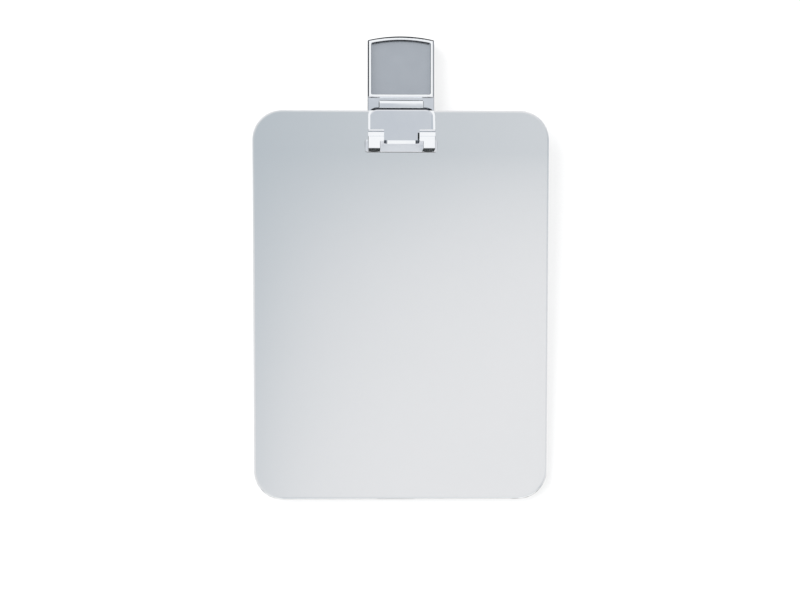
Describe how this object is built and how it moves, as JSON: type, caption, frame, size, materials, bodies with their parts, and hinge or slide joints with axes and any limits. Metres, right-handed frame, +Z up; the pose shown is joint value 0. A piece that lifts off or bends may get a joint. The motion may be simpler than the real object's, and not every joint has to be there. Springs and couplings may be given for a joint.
{
  "type": "shower mirror",
  "caption": "Wall-hung frameless mirror with round corners, held at its top edge by an arched plated bracket with an open razor cradle in front.",
  "frame": {"origin": "centre of the wall pad's back face, on the wall", "axes": "+X to the right as seen from the front, +Y into the wall, +Z up"},
  "size_m": [0.159, 0.0319, 0.2502],
  "materials": {
    "pad_foam": "matt closed-cell foam",
    "cleat_plastic": "moulded, fine matt texture",
    "plated_bracket": "bright plating on the rim, satin grey in the recessed panel",
    "plated_cradle": "bright plating",
    "screw_steel": "zinc-plated steel",
    "plug_rubber": "matt dark rubber",
    "pane_glass": "clear, with a ground bevel",
    "silver_layer": "mirror silver",
    "backing_paint": "grey backing paint",
    "tape_foam": "white foam tape",
    "clear_tape": "clear soft tape",
    "bumper_rubber": "translucent soft bumper"
  },
  "bodies": {
    "cleat": {"wall_pad": "pad_foam", "wall_cleat": "cleat_plastic"},
    "mirror_unit": {"hanger_plate": "plated_bracket", "razor_cradle": "plated_cradle", "cradle_screws": "screw_steel", "left_leg_plug": "plug_rubber", "right_leg_plug": "plug_rubber", "mirror_pane": "pane_glass", "mirror_silver": "silver_layer", "mirror_backing": "backing_paint", "mirror_tape": "tape_foam", "cradle_tape": "clear_tape", "left_bumper": "bumper_rubber", "right_bumper": "bumper_rubber"}
  },
  "joints": [
    {"name": "mirror_lift_off", "type": "slide", "parent": "cleat", "child": "mirror_unit", "axis": [0, 0, 1], "range_m": [0, 0.06]}
  ]
}
